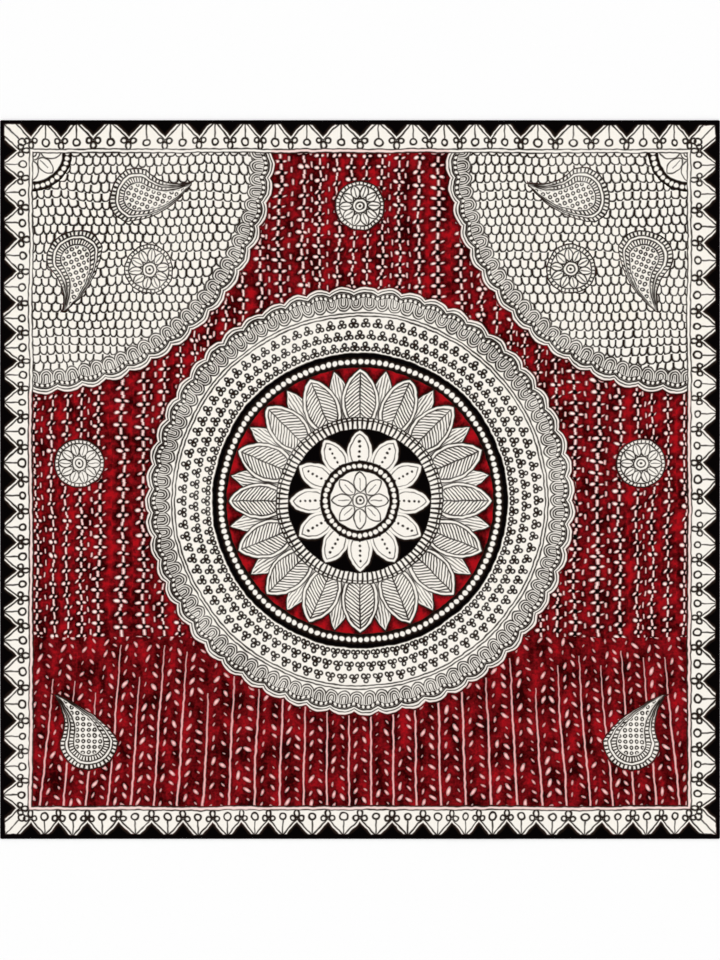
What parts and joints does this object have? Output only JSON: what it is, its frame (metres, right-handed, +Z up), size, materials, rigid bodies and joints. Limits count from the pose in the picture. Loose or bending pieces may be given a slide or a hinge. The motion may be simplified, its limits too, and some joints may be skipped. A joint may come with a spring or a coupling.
{
  "type": "painted temple cloth",
  "caption": "Square painted and dyed cotton temple cloth lying flat: black sawtooth border, fish-scale corners, red vine ground and a round lotus centre, with a narrow rolled hem.",
  "frame": {"origin": "middle of the underside, on the surface that the cloth lies on", "axes": "+Z up out of the painted face, +Y towards the top of the design, +X to its right"},
  "size_m": [0.61, 0.609, 0.0012],
  "materials": {
    "painted_cotton": "matt plain-woven cotton with black and madder red dye"
  },
  "bodies": {
    "root": {"painted_cloth": "painted_cotton"}
  },
  "joints": []
}
